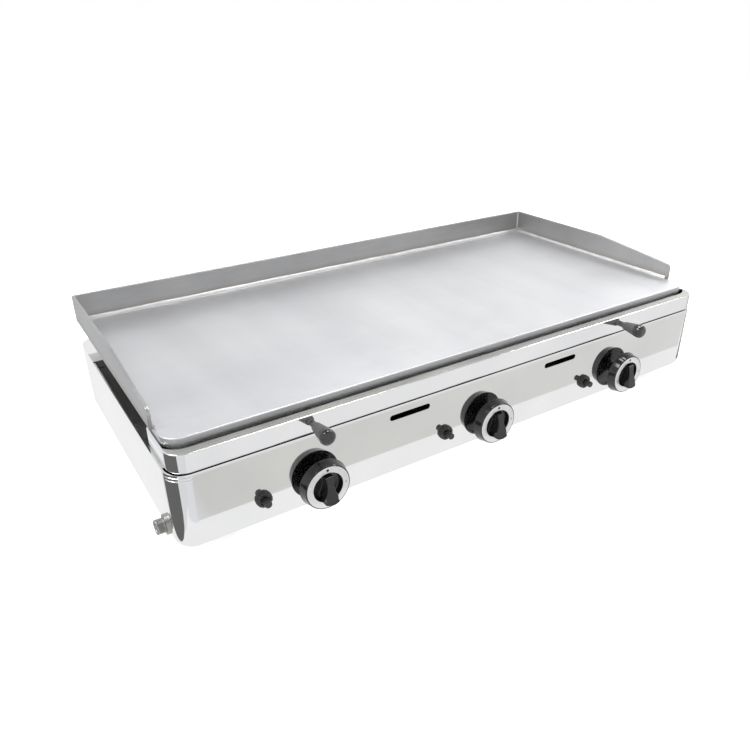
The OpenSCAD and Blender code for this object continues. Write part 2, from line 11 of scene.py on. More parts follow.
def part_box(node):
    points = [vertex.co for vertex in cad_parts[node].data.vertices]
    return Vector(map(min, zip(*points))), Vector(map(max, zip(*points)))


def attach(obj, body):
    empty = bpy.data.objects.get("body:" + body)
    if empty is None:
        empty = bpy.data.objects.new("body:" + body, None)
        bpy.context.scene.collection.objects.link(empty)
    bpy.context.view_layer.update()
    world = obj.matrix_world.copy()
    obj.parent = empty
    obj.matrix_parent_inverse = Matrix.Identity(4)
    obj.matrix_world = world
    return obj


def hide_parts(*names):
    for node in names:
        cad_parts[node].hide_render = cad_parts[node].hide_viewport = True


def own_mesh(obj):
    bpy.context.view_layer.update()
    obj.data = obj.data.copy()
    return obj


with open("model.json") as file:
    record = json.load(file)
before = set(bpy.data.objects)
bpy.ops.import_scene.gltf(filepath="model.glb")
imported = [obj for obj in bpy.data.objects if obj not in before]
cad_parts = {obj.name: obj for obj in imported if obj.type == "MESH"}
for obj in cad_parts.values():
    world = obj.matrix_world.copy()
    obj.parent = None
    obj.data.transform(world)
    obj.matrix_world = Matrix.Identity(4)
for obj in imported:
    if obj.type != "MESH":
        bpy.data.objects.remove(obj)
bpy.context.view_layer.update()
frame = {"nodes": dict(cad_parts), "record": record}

MM = 0.001
RECORD = frame["record"]
BODY_OF = {node: body for body, nodes in RECORD["behaviour"]["bodies"].items() for node in nodes}
SLOT_OF = {part["node"]: part["material_slot"] for part in RECORD["subparts"]}
NUMBERS = (1, 2, 3)

# planes that many pieces are placed from
SHELL_LOW, SHELL_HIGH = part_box("body_shell")
PLATE_LOW, PLATE_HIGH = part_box("griddle_plate")
FRONT_Y = SHELL_LOW.y
CASING_X = (SHELL_LOW.x + SHELL_HIGH.x) / 2
KNOB_BACK = 11.5 * MM
KNOB_FRONT = 25.5 * MM


def mid(node):
    """Middle of a node's box."""
    low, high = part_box(node)
    return (low + high) / 2


def on_front(x, z):
    """Local +Z points out of the casing's front face and local +Y points up."""
    return Matrix(((1, 0, 0, x), (0, 0, -1, FRONT_Y), (0, 1, 0, z), (0, 0, 0, 1)))


# ---------------------------------------------------------------- camera

def add_camera():
    azimuth, elevation, roll = (math.radians(a) for a in (-32.19, 27.15, -0.717))
    back = Vector((math.sin(azimuth) * math.cos(elevation),
                   -math.cos(azimuth) * math.cos(elevation), math.sin(elevation)))
    right = Vector((math.cos(azimuth), math.sin(azimuth), 0))
    up = back.cross(right)
    across = math.cos(roll) * right + math.sin(roll) * up
    upward = math.cos(roll) * up - math.sin(roll) * right
    data = bpy.data.cameras.new("camera")
    data.lens = 33.25
    camera = bpy.data.objects.new("camera", data)
    turn = Matrix((across, upward, back)).transposed().to_4x4()
    camera.matrix_world = Matrix.Translation((CASING_X - 0.6482, FRONT_Y - 0.7007, 0.6229)) @ turn
    bpy.context.scene.collection.objects.link(camera)
    bpy.context.scene.camera = camera


# ---------------------------------------------------------------- finishes

class Finish:
    """A Principled material whose detail comes from noise in object coordinates, which are metres."""

    def __init__(self, name, metallic=0.0, coat=0.0, coat_roughness=0.1, specular=0.5):
        self.material = bpy.data.materials.new(name)
        self.material.use_nodes = True
        self.tree = self.material.node_tree
        self.shader = self.tree.nodes["Principled BSDF"]
        self.shader.inputs["Metallic"].default_value = metallic
        self.shader.inputs["Coat Weight"].default_value = coat
        self.shader.inputs["Coat Roughness"].default_value = coat_roughness
        self.shader.inputs["Specular IOR Level"].default_value = specular
        self.place = self.node("ShaderNodeTexCoord").outputs["Object"]
        self.normal = None

    def node(self, kind, **settings):
        made = self.tree.nodes.new(kind)
        for key, value in settings.items():
            setattr(made, key, value)
        return made

    def link(self, source, target):
        self.tree.links.new(source, target)

    def noise(self, scale, stretch=(1, 1, 1), detail=3.0, roughness=0.55, start=(0, 0, 0), warp=0.0):
        """Fractal noise; stretch multiplies the frequency along each axis."""
        mapping = self.node("ShaderNodeMapping")
        mapping.inputs["Location"].default_value = start
        mapping.inputs["Scale"].default_value = stretch
        self.link(self.place, mapping.inputs["Vector"])
        texture = self.node("ShaderNodeTexNoise")
        texture.inputs["Scale"].default_value = scale
        texture.inputs["Detail"].default_value = detail
        texture.inputs["Roughness"].default_value = roughness
        texture.inputs["Distortion"].default_value = warp
        self.link(mapping.outputs["Vector"], texture.inputs["Vector"])
        return texture.outputs["Fac"]

    def along(self, axis, low, high):
        """0 at low and 1 at high along one axis."""
        split = self.node("ShaderNodeSeparateXYZ")
        self.link(self.place, split.inputs["Vector"])
        span = self.node("ShaderNodeMapRange")
        span.inputs["From Min"].default_value = low
        span.inputs["From Max"].default_value = high
        self.link(split.outputs[axis], span.inputs["Value"])
        return span.outputs["Result"]

    def ramp(self, value, *stops):
        """Maps a value through (place, colour or number) stops."""
        ramp = self.node("ShaderNodeValToRGB")
        points = ramp.color_ramp.elements
        while len(points) < len(stops):
            points.new(0.5)
        for point, (place, colour) in zip(points, stops):
            point.position = place
            if isinstance(colour, (int, float)):
                colour = (colour,) * 3
            point.color = (*colour, 1)
        self.link(value, ramp.inputs["Fac"])
        return ramp.outputs["Color"]

    def mix(self, how, a, b, share=1.0):
        mix = self.node("ShaderNodeMix", data_type="RGBA", blend_type=how)
        for socket, value in (("Factor", share), ("A", a), ("B", b)):
            target = next(i for i in mix.inputs if i.name == socket and i.enabled)
            if isinstance(value, bpy.types.NodeSocket):
                self.link(value, target)
            else:
                target.default_value = value
        return next(o for o in mix.outputs if o.enabled)

    def colour(self, value):
        self.link(value, self.shader.inputs["Base Color"])

    def gloss(self, value, *stops):
        self.link(self.ramp(value, *stops), self.shader.inputs["Roughness"])

    def relief(self, height, depth):
        """Adds bumps of that depth in metres."""
        bump = self.node("ShaderNodeBump")
        bump.inputs["Distance"].default_value = depth
        self.link(height, bump.inputs["Height"])
        if self.normal:
            self.link(self.normal, bump.inputs["Normal"])
        self.normal = bump.outputs["Normal"]
        self.link(self.normal, self.shader.inputs["Normal"])


def metal(name, dark, light, rough, grain=(1, 1, 1), grain_scale=300, depth=4e-6, cloud_scale=9, tint=0.35):
    """Metal with cloudy tone and a fine grain that also breaks up the gloss."""
    finish = Finish(name, metallic=1.0)
    cloud = finish.noise(cloud_scale, detail=4, start=(3.1, 1.7, 0.4))
    lines = finish.noise(grain_scale, grain, detail=5, roughness=0.65)
    tone = finish.mix("MIX", cloud, lines, tint)
    finish.colour(finish.ramp(tone, (0.32, dark), (0.68, light)))
    finish.gloss(finish.mix("MIX", lines, cloud, 0.4), (0.3, rough[0]), (0.7, rough[1]))
    finish.relief(lines, depth)
    return finish


def polished_steel():
    """Mirror polish: slight waves of the sheet, haze in patches and a few fine rubbing marks."""
    finish = Finish("polished_steel", metallic=1.0)
    haze = finish.noise(7, detail=5, start=(0.3, 2.2, 1.4))
    marks = finish.noise(260, (0.06, 1, 1), detail=4, roughness=0.7)
    tone = finish.mix("MIX", haze, marks, 0.15)
    finish.colour(finish.ramp(tone, (0.3, (0.83, 0.835, 0.84)), (0.7, (0.92, 0.92, 0.915))))
    finish.gloss(finish.mix("MIX", haze, marks, 0.45), (0.35, 0.03), (0.62, 0.07), (0.75, 0.13))
    finish.relief(finish.noise(5.5, (1, 1, 1.6), detail=1.5), 1.6e-4)
    finish.relief(marks, 1.2e-6)
    return finish


def plate_steel():
    """Ground cooking surface: grain along X, faint wipe marks across it and soft clouding."""
    finish = metal("plate_steel", (0.66, 0.665, 0.68), (0.76, 0.76, 0.765), (0.34, 0.46),
                   (0.03, 1, 1), 520, 7e-6, 4.5, 0.4)
    wipes = finish.noise(14, (1, 0.12, 1), detail=4, warp=0.4, start=(1.2, 0, 0))
    base = finish.shader.inputs["Base Color"].links[0].from_socket
    shade = finish.ramp(wipes, (0.38, 0.96), (0.6, 1.0))
    finish.colour(finish.mix("MULTIPLY", base, shade))
    finish.relief(wipes, 2.5e-5)
    return finish


def splash_steel():
    """Satin guards, warmer and duller just above the weld."""
    finish = metal("splash_steel", (0.40, 0.40, 0.40), (0.52, 0.52, 0.515), (0.30, 0.46),
                   (0.05, 1, 1), 420, 6e-6, 7)
    base = finish.shader.inputs["Base Color"].links[0].from_socket
    heat = finish.ramp(finish.along("Z", PLATE_HIGH.z, PLATE_HIGH.z + 16 * MM),
                       (0.15, (0.80, 0.78, 0.76)), (0.45, (0.93, 0.89, 0.83)), (0.9, (1, 1, 1)))
    finish.colour(finish.mix("MULTIPLY", base, heat))
    return finish


def weld_steel():
    return metal("weld_steel", (0.58, 0.58, 0.58), (0.74, 0.74, 0.74), (0.34, 0.5), (1, 1, 1), 700, 1.2e-5, 30)


def burner_steel():
    """Straw, brown and blue heat tint towards the ports on top."""
    finish = metal("burner_steel", (0.42, 0.42, 0.42), (0.56, 0.56, 0.56), (0.32, 0.5),
                   (1, 0.1, 1), 300, 8e-6, 25)
    low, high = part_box("burner_1")
    base = finish.shader.inputs["Base Color"].links[0].from_socket
    rise = finish.mix("MIX", finish.along("Z", low.z, high.z), finish.noise(18, detail=3), 0.35)
    heat = finish.ramp(rise, (0.35, (1, 1, 1)), (0.5, (0.95, 0.82, 0.6)), (0.62, (0.75, 0.5, 0.38)),
                       (0.74, (0.45, 0.48, 0.68)))
    finish.colour(finish.mix("MULTIPLY", base, heat))
    return finish


def dial_metal():
    """Satin rings with fine brushing lines that run level across them."""
    finish = Finish("dial_metal", metallic=1.0)
    lines = finish.noise(3000, (0.02, 1, 0.3), detail=3)
    patch = finish.noise(90, detail=3)
    tone = finish.mix("MIX", patch, lines, 0.4)
    finish.colour(finish.ramp(tone, (0.3, (0.80, 0.80, 0.82)), (0.7, (0.92, 0.92, 0.93))))
    finish.gloss(patch, (0.3, 0.30), (0.7, 0.42))
    finish.relief(lines, 3e-6)
    return finish


def moulded(name, dark, light, rough, texture_scale, depth, coat=0.0, coat_roughness=0.1, specular=0.5):
    """Moulded plastic or rubber: mottled tone, uneven gloss and a fine surface texture."""
    finish = Finish(name, coat=coat, coat_roughness=coat_roughness, specular=specular)
    patch = finish.noise(60, detail=4, start=(0.2, 0.9, 0.5))
    skin = finish.noise(texture_scale, detail=3, roughness=0.6)
    finish.colour(finish.ramp(finish.mix("MIX", patch, skin, 0.4), (0.3, dark), (0.7, light)))
    finish.gloss(finish.mix("MIX", patch, skin, 0.5), (0.3, rough[0]), (0.7, rough[1]))
    finish.relief(skin, depth)
    return finish


FINISHES = {
    "polished_steel": polished_steel(),
    "sheet_steel": metal("sheet_steel", (0.60, 0.605, 0.60), (0.76, 0.76, 0.75), (0.36, 0.52),
                         (0.05, 1, 1), 300, 8e-6),
    "plate_steel": plate_steel(),
    "splash_steel": splash_steel(),
    "fastener_steel": metal("fastener_steel", (0.58, 0.58, 0.57), (0.76, 0.76, 0.76), (0.2, 0.36),
                            (1, 1, 1), 900),
    "pipe_steel": metal("pipe_steel", (0.34, 0.34, 0.325), (0.50, 0.50, 0.48), (0.32, 0.5),
                        (0.08, 1, 1), 700, 6e-6, 60),
    "burner_steel": burner_steel(),
    "brass": metal("brass", (0.58, 0.42, 0.17), (0.84, 0.68, 0.34), (0.2, 0.42), (1, 0.2, 1), 500, 4e-6, 40),
    "copper": metal("copper", (0.48, 0.22, 0.13), (0.80, 0.46, 0.32), (0.22, 0.44), (1, 1, 1), 500, 4e-6, 50),
    "ceramic": moulded("ceramic", (0.72, 0.69, 0.63), (0.86, 0.84, 0.79), (0.18, 0.34), 700, 6e-6, 0.5),
    "knob_plastic": moulded("knob_plastic", 0.010, 0.017, (0.12, 0.2), 1300, 4e-6, 0.3, 0.05, 0.4),
    "grip_plastic": moulded("grip_plastic", 0.070, 0.095, (0.42, 0.56), 2200, 2.5e-5),
    "black_plastic": moulded("black_plastic", 0.018, 0.032, (0.30, 0.44), 1600, 9e-6),
    "dial_metal": dial_metal(),
    "foot_rubber": moulded("foot_rubber", 0.022, 0.045, (0.55, 0.75), 1100, 3e-5),
    "lead_rubber": moulded("lead_rubber", (0.34, 0.035, 0.025), (0.52, 0.07, 0.045), (0.38, 0.55), 900, 1.2e-5),
}
WELD = weld_steel()
# darker copy of the sheet steel for the strip under the plate's front edge: its lower tone is painted shade and
# a painted darker reflection
APRON_SHADED_STEEL = metal("apron_shaded_steel", (0.36, 0.36, 0.335), (0.47, 0.47, 0.445), (0.34, 0.48),
                    (0.03, 1, 1), 500, 6e-6)
GRIP_GLOSS = moulded("grip_gloss", 0.010, 0.016, (0.05, 0.09), 900, 1.5e-6, 0.6, 0.03)
DIAL_BLACK = moulded("dial_black", 0.010, 0.016, (0.5, 0.6), 2500, 2e-6, specular=0.1)
DIAL_GREY = moulded("dial_grey", 0.30, 0.36, (0.5, 0.6), 2500, 2e-6, specular=0.1)


def dress_cad_nodes():
    """Every node of the frame takes the finish of its record slot."""
    for node, obj in frame["nodes"].items():
        for holder in obj.material_slots:
            holder.material = FINISHES[SLOT_OF[node]].material


# ---------------------------------------------------------------- mesh making

class Shape:
    """Points and faces of one piece; each face has the number of its finish."""

    def __init__(self, matrix=None):
        self.matrix = matrix or Matrix.Identity(4)
        self.points = []
        self.faces = []
        self.marks = []

    def rows(self, rows, mark=0, closed=True, loop=False):
        """Joins neighbouring rows of points; a row of one point is a tip."""
        starts = []
        for row in rows:
            starts.append(len(self.points))
            self.points.extend(self.matrix @ Vector(p) for p in row)
        for i in range(len(rows) if loop else len(rows) - 1):
            j = (i + 1) % len(rows)
            a, b = len(rows[i]), len(rows[j])
            count = max(a, b)
            for k in range(count if closed else count - 1):
                m = (k + 1) % count
                corners = (starts[i] + k % a, starts[i] + m % a, starts[j] + m % b, starts[j] + k % b)
                face = list(dict.fromkeys(corners))
                if len(face) > 2:
                    self.faces.append(face)
                    self.marks.append(mark)
        return self

    def revolve(self, profile, segments=64, mark=0, reach=None):
        """Turns (radius, height) points round local Z; reach(r, z, angle) may change the radius."""
        rows = []
        for r, z in profile:
            if r == 0:
                rows.append([(0, 0, z)])
                continue
            ring = []
            for k in range(segments):
                t = 2 * math.pi * k / segments
                s = reach(r, z, t) if reach else r
                ring.append((s * math.cos(t), s * math.sin(t), z))
            rows.append(ring)
        return self.rows(rows, mark)

    def sweep(self, path, section, mark=0, grow=None):
        """Carries a closed (across, up) section along a path of (point, across, up); ends are capped."""
        rows = []
        for i, (at, across, up) in enumerate(path):
            size = grow(i) if grow else 1.0
            rows.append([Vector(at) + Vector(across) * u * size + Vector(up) * v * size for u, v in section])
        first, last = rows[0], rows[-1]
        rows = [[sum(first, Vector()) / len(first)], *rows, [sum(last, Vector()) / len(last)]]
        return self.rows(rows, mark)


def piece(name, shape, body, slot, finishes=None, replaces=(), sharp=35, weighted=False):
    """Makes the object, with its finish, its body and the nodes that it stands for."""
    mesh = bpy.data.meshes.new(name)
    mesh.from_pydata([tuple(p) for p in shape.points], [], shape.faces)
    for finish in finishes or [FINISHES[slot]]:
        mesh.materials.append(finish.material)
    mesh.polygons.foreach_set("material_index", shape.marks)
    made = bmesh.new()
    made.from_mesh(mesh)
    bmesh.ops.remove_doubles(made, verts=made.verts, dist=1e-6)
    bmesh.ops.dissolve_degenerate(made, edges=made.edges, dist=1e-7)
    bmesh.ops.recalc_face_normals(made, faces=made.faces)
    made.to_mesh(mesh)
    made.free()
    mesh.shade_smooth()
    mesh.set_sharp_from_angle(angle=math.radians(sharp))
    obj = bpy.data.objects.new(name, mesh)
    bpy.context.scene.collection.objects.link(obj)
    if weighted:
        obj.modifiers.new("even faces", "WEIGHTED_NORMAL").keep_sharp = True
    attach(obj, body)
    if replaces:
        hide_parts(*replaces)
    return obj


def soften(outline, closed=False, steps=5):
    """Rounds the corners of (u, v, radius) points."""
    out = []
    for i, (u, v, radius) in enumerate(outline):
        corner = Vector((u, v))
        if radius == 0 or (not closed and i in (0, len(outline) - 1)):
            out.append(tuple(corner))
            continue
        before = Vector(outline[i - 1][:2]) - corner
        after = Vector(outline[(i + 1) % len(outline)][:2]) - corner
        half = before.angle(after) / 2
        reach = min(radius / math.tan(half), before.length / 2, after.length / 2)
        start = corner + before.normalized() * reach
        end = corner + after.normalized() * reach
        for s in range(steps + 1):
            t = s / steps
            out.append(tuple(start * (1 - t) ** 2 + corner * 2 * t * (1 - t) + end * t ** 2))
    return out


def in_mm(points):
    return [tuple(c * MM for c in p) for p in points]


def arc(centre, radius, start, end, steps):
    """Points on an arc between two angles in degrees, both ends included."""
    angles = [math.radians(start + (end - start) * i / steps) for i in range(steps + 1)]
    return [(centre[0] + radius * math.cos(a), centre[1] + radius * math.sin(a)) for a in angles]


def slab(name, outline, depth, edge, matrix, body, slot, replaces, finishes=None):
    """A plate of that outline and depth whose rims are rounded."""
    made = bmesh.new()
    face = made.faces.new([made.verts.new((u, v, 0)) for u, v in outline])
    grown = bmesh.ops.extrude_face_region(made, geom=[face])["geom"]
    top = [g for g in grown if isinstance(g, bmesh.types.BMVert)]
    bmesh.ops.translate(made, verts=top, vec=(0, 0, depth))
    rims = [e for e in made.edges if abs(e.verts[0].co.z - e.verts[1].co.z) < 1e-7]
    bmesh.ops.bevel(made, geom=rims, offset=edge, segments=3, profile=0.5, affect="EDGES", clamp_overlap=True)
    made.verts.ensure_lookup_table()
    made.verts.index_update()
    shape = Shape(matrix)
    shape.points = [matrix @ v.co for v in made.verts]
    shape.faces = [[v.index for v in f.verts] for f in made.faces]
    shape.marks = [0] * len(shape.faces)
    made.free()
    return piece(name, shape, body, slot, finishes, replaces, sharp=50, weighted=True)


# ---------------------------------------------------------------- plate and guards

CORNER_R = 26 * MM
GUARD_EDGE = 1.1 * MM


def griddle_plate():
    low, high = PLATE_LOW, PLATE_HIGH
    outline = [(low.x, high.y)]
    outline += arc((low.x + CORNER_R, low.y + CORNER_R), CORNER_R, 180, 270, 14)
    outline += arc((high.x - CORNER_R, low.y + CORNER_R), CORNER_R, 270, 360, 14)
    outline += [(high.x, high.y)]
    slab("cooking_plate", outline, high.z - low.z, 1.5 * MM, Matrix.Translation((0, 0, low.z)),
         "plate", "plate_steel", ["griddle_plate"])


def side_guard(node):
    """Level at the back, falling straight to a rounded nose at the front."""
    low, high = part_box(node)
    foot = PLATE_HIGH.z
    fall_y = FRONT_Y + 232 * MM
    nose_z = foot + 27 * MM
    slope = math.degrees(math.atan2(high.z - nose_z, fall_y - low.y))
    nose_r = 10 * MM
    turn = math.radians(slope)
    centre = (low.y + nose_r, nose_z + nose_r * math.tan(turn) - nose_r / math.cos(turn))
    outline = [(high.y, low.z), (low.y, low.z)] + arc(centre, nose_r, 180, 90 + slope, 12)
    outline += soften([(*outline[-1], 0), (fall_y, high.z, 30 * MM), (high.y, high.z, 0)])[1:]
    matrix = Matrix(((0, 0, 1, low.x), (1, 0, 0, 0), (0, 1, 0, 0), (0, 0, 0, 1)))
    slab(node.replace("splash", "guard"), outline, high.x - low.x, GUARD_EDGE, matrix,
         "plate", "splash_steel", [node])


def back_guard():
    low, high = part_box("back_splash")
    outline = [(low.x, low.z), (high.x, low.z), (high.x, high.z), (low.x, high.z)]
    matrix = Matrix(((1, 0, 0, 0), (0, 0, 1, low.y), (0, 1, 0, 0), (0, 0, 0, 1)))
    slab("back_guard", outline, high.y - low.y, GUARD_EDGE, matrix, "plate", "splash_steel", ["back_splash"])


def weld_bead(name, start, end, across, up, leg=5.2 * MM):
    """A ground fillet weld along a corner, with the ripple of the torch."""
    pitch = 2.6 * MM
    run = Vector(end) - Vector(start)
    steps = round(run.length / pitch * 4)
    section = [(-0.1 * leg, -0.1 * leg), (leg, -0.1 * leg), (0.86 * leg, 0.22 * leg), (0.62 * leg, 0.46 * leg),
               (0.46 * leg, 0.62 * leg), (0.22 * leg, 0.86 * leg), (-0.1 * leg, leg)]
    path = [(Vector(start) + run * i / steps, across, up) for i in range(steps + 1)]

    def grow(i):
        ripple = 0.018 * math.cos(math.pi * i / 2)
        drift = 0.05 * math.sin(i * 0.037) + 0.03 * math.sin(i * 0.113 + 1.3)
        return 1 + ripple + drift

    shape = Shape().sweep(path, section, grow=grow)
    piece(name, shape, "plate", "splash_steel", finishes=[WELD], sharp=60)


def weld_beads():
    left, right = PLATE_LOW.x, PLATE_HIGH.x
    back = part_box("back_splash")[0].y
    foot = PLATE_HIGH.z
    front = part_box("left_splash")[0].y + 4 * MM
    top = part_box("back_splash")[1].z - 2 * MM
    weld_bead("weld_back", (left, back, foot), (right, back, foot), (0, -1, 0), (0, 0, 1))
    for side, x, inward in (("left", left, 1), ("right", right, -1)):
        weld_bead(f"weld_{side}", (x, front, foot), (x, back, foot), (inward, 0, 0), (0, 0, 1), 3.6 * MM)
        weld_bead(f"weld_corner_{side}", (x, back, foot), (x, back, top), (inward, 0, 0), (0, -1, 0), 1.5 * MM)


# ---------------------------------------------------------------- tray

def tray_band():
    """Front and ends of the tray as one bent strip; its rounded foot leaves a thin seam above the casing."""
    low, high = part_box("tray_front")
    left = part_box("tray_end_left")[0].x
    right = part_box("tray_end_right")[1].x
    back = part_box("tray_end_left")[1].y
    height = high.z - low.z
    sheet = 1.2 * MM
    bend = 3 * MM
    gap = 0.8 * MM
    section = arc((bend, bend + gap), bend, 180, 270, 6) + [(6 * MM, gap), (6 * MM, gap + sheet)]
    section += arc((bend, bend + gap), bend - sheet, 270, 180, 6)
    section += [(sheet, height - bend), (2 * sheet, height - bend + 0.3 * MM)]
    section += arc((sheet, height - sheet), sheet, 0, 180, 8)
    corner = CORNER_R
    front = low.y
    stations = [((left, back), (1, 0)), ((left, front + corner), (1, 0))]
    for x, start in ((left + corner, 180), (right - corner, 270)):
        for i in range(25):
            a = math.radians(start + 90 * i / 24)
            out = (math.cos(a), math.sin(a))
            stations.append(((x + corner * out[0], front + corner + corner * out[1]), (-out[0], -out[1])))
    stations += [((right, front + corner), (-1, 0)), ((right, back), (-1, 0))]
    path = [((x, y, low.z), (*inward, 0), (0, 0, 1)) for (x, y), inward in stations]
    piece("tray_band", Shape().sweep(path, section), "tray", "polished_steel",
          replaces=["tray_front", "tray_end_left", "tray_end_right"], sharp=40, weighted=True)


def apron():
    """Level strip behind the tray front that runs round the plate's two front corners."""
    low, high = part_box("tray_apron")
    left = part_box("tray_end_left")[0].x
    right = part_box("tray_end_right")[1].x
    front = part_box("tray_front")[0].y
    inner_wall = CORNER_R - 1.5 * MM
    clear = CORNER_R + PLATE_LOW.y - high.y
    turn = math.degrees(math.acos((PLATE_LOW.x + CORNER_R - left - 1.5 * MM) / clear))
    back_y = PLATE_LOW.y + CORNER_R - clear * math.sin(math.radians(turn))
    outline = [(left + 1.5 * MM, back_y)]
    outline += arc((left + CORNER_R, front + CORNER_R), inner_wall, 180, 270, 14)
    outline += arc((right - CORNER_R, front + CORNER_R), inner_wall, 270, 360, 14)
    outline += arc((PLATE_HIGH.x - CORNER_R, PLATE_LOW.y + CORNER_R), clear, 360 - turn, 270, 12)
    outline += arc((PLATE_LOW.x + CORNER_R, PLATE_LOW.y + CORNER_R), clear, 270, 180 + turn, 12)[:-1]
    # the strip takes the darker copy of the sheet steel, whose tone is painted shade
    slab("grease_apron", outline, high.z - low.z, 0.4 * MM, Matrix.Translation((0, 0, low.z)),
         "tray", "sheet_steel", ["tray_apron"], [APRON_SHADED_STEEL])


def grips():
    """Matt cone, polished domed end and a thin groove where they meet."""
    for side in ("left", "right"):
        node = f"tray_grip_{side}"
        centre = mid(node)
        groove = 32.5
        cone = soften(in_mm([(0, 0.1, 0), (4.4, 0.1, 0.3), (4.6, 7.6, 0.6), (6.3, 7.9, 0.9), (6.9, 11, 2),
                             (10.3, groove - 0.7, 0.4), (9.8, groove, 0.1)]))
        dome = soften(in_mm([(9.8, groove, 0.1), (10.6, groove + 0.7, 0.4), (11.2, 38.5, 4), (10.6, 43.5, 4),
                             (6.4, 46.2, 5), (0, 46.5, 0)]))
        shape = Shape(on_front(centre.x, centre.z))
        shape.revolve(cone, 72).revolve(dome, 72, mark=1)
        piece(f"grip_{side}", shape, "tray", "grip_plastic", [FINISHES["grip_plastic"], GRIP_GLOSS], [node], 50)


def corner_ridges():
    """Two small half-round ridges pressed round each front corner of the casing, just below its rim."""
    radius = 28 * MM
    section = arc((0, 0), 1.0 * MM, -90, 90, 8)
    for side, x, start in (("left", SHELL_LOW.x + radius, 194), ("right", SHELL_HIGH.x - radius, 264)):
        shape = Shape()
        for drop in (4.5, 9.0):
            path = []
            for i in range(33):
                a = math.radians(start + 82 * i / 32)
                out = Vector((math.cos(a), math.sin(a), 0))
                at = Vector((x, FRONT_Y + radius, SHELL_HIGH.z - drop * MM)) + out * (radius - 0.25 * MM)
                path.append((at, out, Vector((0, 0, 1))))
            shape.sweep(path, section, grow=lambda i: min(1.0, 0.25 + 0.75 * min(i, 32 - i) / 4))
        piece(f"corner_ridges_{side}", shape, "casing", "polished_steel", sharp=60)


# ---------------------------------------------------------------- controls

DISH_R = 22
DIAL_R = 33.5


def bar_outline():
    """Waisted finger bar inside the dish: round foot, narrow middle, flat top."""
    waist_x, waist_y, waist_r, half, top = 37, 8, 32, 9.5, 19
    foot = [(DISH_R * math.sin(a), -DISH_R * math.cos(a)) for a in
            (math.radians(t) for t in range(-30, 31, 5))]
    right = []
    for y in range(-17, top, 3):
        right.append((min(half, waist_x - math.sqrt(max(waist_r ** 2 - (y - waist_y) ** 2, 0))), y))
    right.append((right[-1][0], top))
    left = [(-x, y) for x, y in reversed(right)]
    return foot + right + left


def knob(number):
    node = f"knob_{number}"
    centre = mid(f"valve_spindle_{number}")
    back, front = KNOB_BACK / MM, KNOB_FRONT / MM
    shape = Shape(on_front(centre.x, centre.z))
    body = soften(in_mm([
        (4.05, 6, 0), (4.05, 5, 0.2), (9, 5, 0.8), (9, back + 2, 1), (12, back + 3, 1), (32.4, back + 3, 1.5),
        (32.9, back, 0.4), (36.5, back, 0.7), (36.4, back + 1.6, 0.5), (35.9, back + 2, 0.3),
        (DIAL_R + 0.2, front - 1.0, 0.6), (DIAL_R - 0.3, front, 0.5), (DIAL_R - 1.3, front, 0.2),
        (DIAL_R - 1.4, front - 0.9, 0), (DISH_R + 0.7, front - 0.9, 0), (DISH_R + 0.6, front, 0.2),
        (DISH_R, front - 0.1, 0.6), (20.6, front - 6.6, 2.2), (17.5, front - 8, 3), (0, front - 8, 0)]))
    shape.revolve(body, 96)
    bar_rows(shape, front - 8.1)
    piece(f"control_knob_{number}", shape, f"knob_turn_{number}", "knob_plastic", replaces=[node], sharp=42,
          weighted=True)
    dial(number, shape.matrix, front)


def bar_rows(shape, foot_z):
    """The bar's wall leans in a little and its rim is rounded; its front slopes down towards the top."""
    outline = bar_outline()
    slope = math.tan(math.radians(12))
    crest_z, top = KNOB_FRONT / MM + 5, 19
    levels = [(1.3, 0, 0), (1.28, 1.1, 0), (1.2, 1.5, 0), (1.02, 1.7, 0), (1.0, 2.2, 0), (0.96, None, -1.6),
              (0.94, None, -0.8), (0.89, None, -0.2), (0.80, None, 0)]
    rows = []
    for scale, lift, drop in levels:
        row = []
        for u, v in outline:
            x, y = u * scale, v * (1 - (1 - scale) * 0.35)
            z = foot_z + lift if lift is not None else crest_z + (top - y) * slope + drop
            if math.hypot(x, y) > DISH_R:
                x, y = (c * DISH_R / math.hypot(x, y) for c in (x, y))
            row.append((x * MM, y * MM, z * MM))
        rows.append(row)
    spine = []
    for p in rows[-1]:
        y = p[1] * 0.6
        spine.append((0, y, (crest_z - 0.25) * MM + (top * MM - y) * slope))
    rows.append(spine)
    shape.rows(rows)


def dial(number, matrix, front):
    """Silver ring with an off dot at the top and a faint flame mark at the right."""
    shape = Shape(matrix)
    rim_out, rim_in = DIAL_R - 1.45, DISH_R + 0.75
    ring = soften(in_mm([(rim_in, front - 0.9, 0), (rim_in, front + 0.15, 0.2), (rim_out, front + 0.15, 0.2),
                         (rim_out, front - 0.9, 0)]))
    shape.revolve(ring + ring[:1], 96)
    piece(f"dial_{number}", shape, f"knob_turn_{number}", "dial_metal", replaces=[f"dial_ring_{number}"])
    marks = Shape(matrix)
    z = front + 0.13
    middle = (rim_in + rim_out) / 2
    dot(marks, 0, middle, 2.0, z)
    flame(marks, middle, 0, 2.6, z)
    piece(f"dial_marks_{number}", marks, f"knob_turn_{number}", "dial_metal", [DIAL_BLACK, DIAL_GREY])


def dot(shape, x, y, r, z):
    ring = [(x + r * math.cos(t), y + r * math.sin(t)) for t in (2 * math.pi * k / 20 for k in range(20))]
    raised(shape, ring, z)


def flame(shape, x, y, size, z):
    """A drop with one curled side."""
    points = []
    for k in range(24):
        t = 2 * math.pi * k / 24
        lean = 0.35 * size * math.sin((1 - math.cos(t)) * 1.2)
        points.append((x + 0.55 * size * math.sin(t) * math.sin(t / 2) + 0.3 * lean, y + size * math.cos(t)))
    raised(shape, points, z, mark=1)


